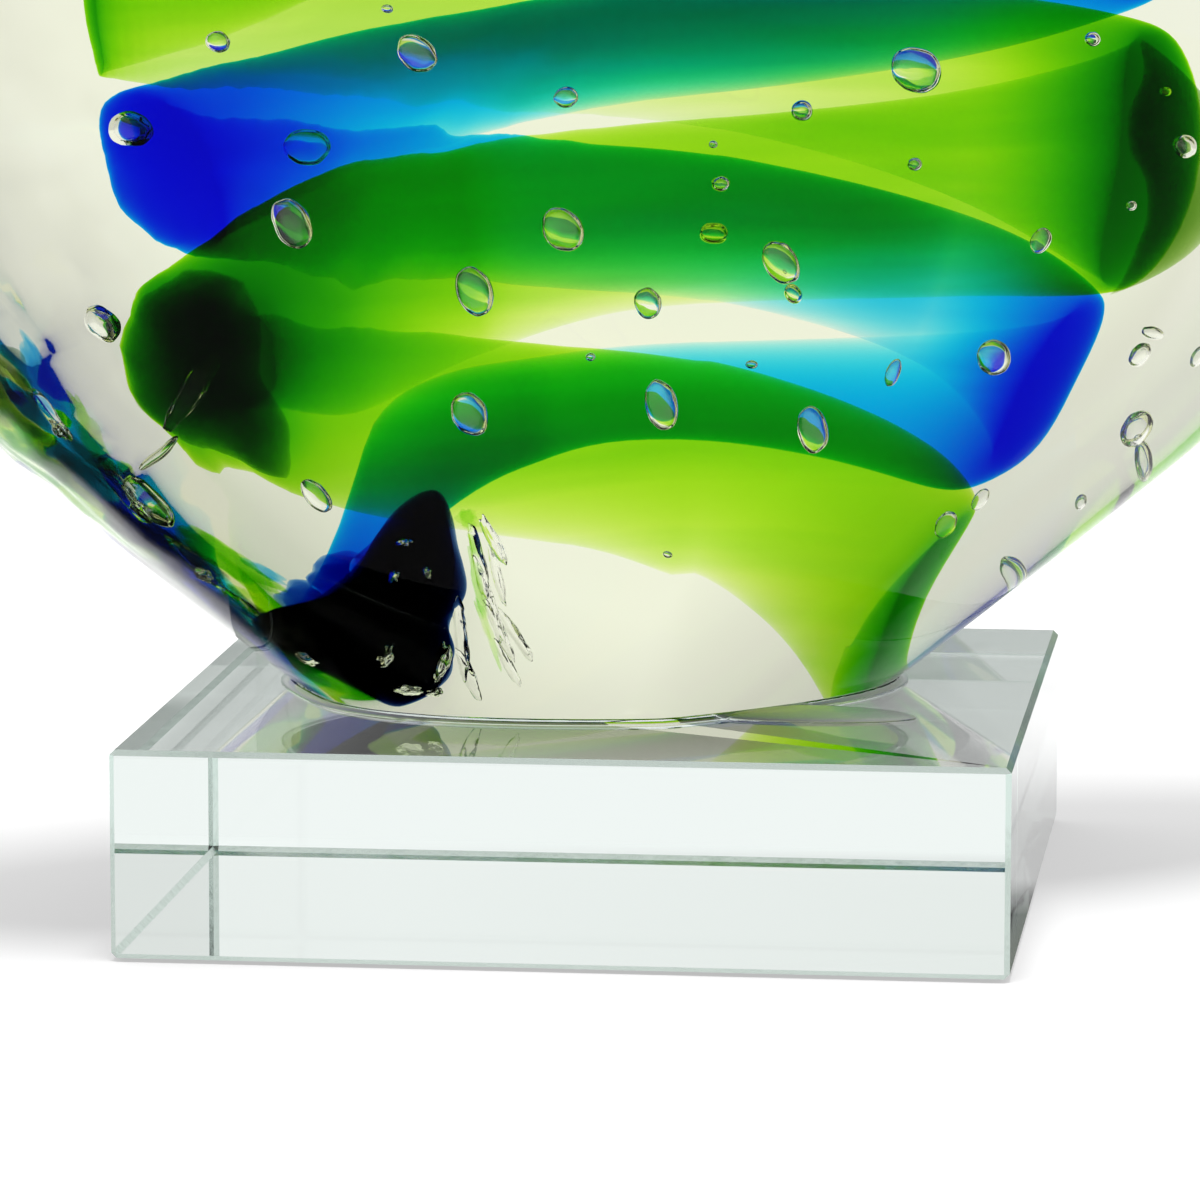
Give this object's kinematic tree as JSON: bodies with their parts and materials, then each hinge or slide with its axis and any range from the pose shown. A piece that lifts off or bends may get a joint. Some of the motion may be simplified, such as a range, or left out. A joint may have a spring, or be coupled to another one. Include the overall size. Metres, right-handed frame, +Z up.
{
  "type": "glass heart sculpture",
  "caption": "Clear glass heart with blue and green ribbons wound inside it, bonded to a square block of clear glass that it stands on.",
  "frame": {"origin": "centre of the block's underside, where the sculpture stands", "axes": "+Z up, -Y the front of the block, +X to the right seen from the front; the heart is turned about +Z so that its left end comes forward"},
  "size_m": [0.1763, 0.1093, 0.1872],
  "materials": {
    "block_glass": "polished optical glass with a faint green tint",
    "adhesive": "clear cured adhesive",
    "clear_glass": "fire polished clear glass",
    "blue_glass": "transparent cobalt and aqua blue glass",
    "green_glass": "transparent yellow green glass",
    "dark_glass": "folded blue and green glass, almost black"
  },
  "bodies": {
    "root": {"base_block": "block_glass", "adhesive_layer": "adhesive", "clear_casing": "clear_glass", "clear_column": "clear_glass", "blue_ribbon": "blue_glass", "green_ribbon": "green_glass", "ribbon_tail": "dark_glass"}
  },
  "joints": []
}
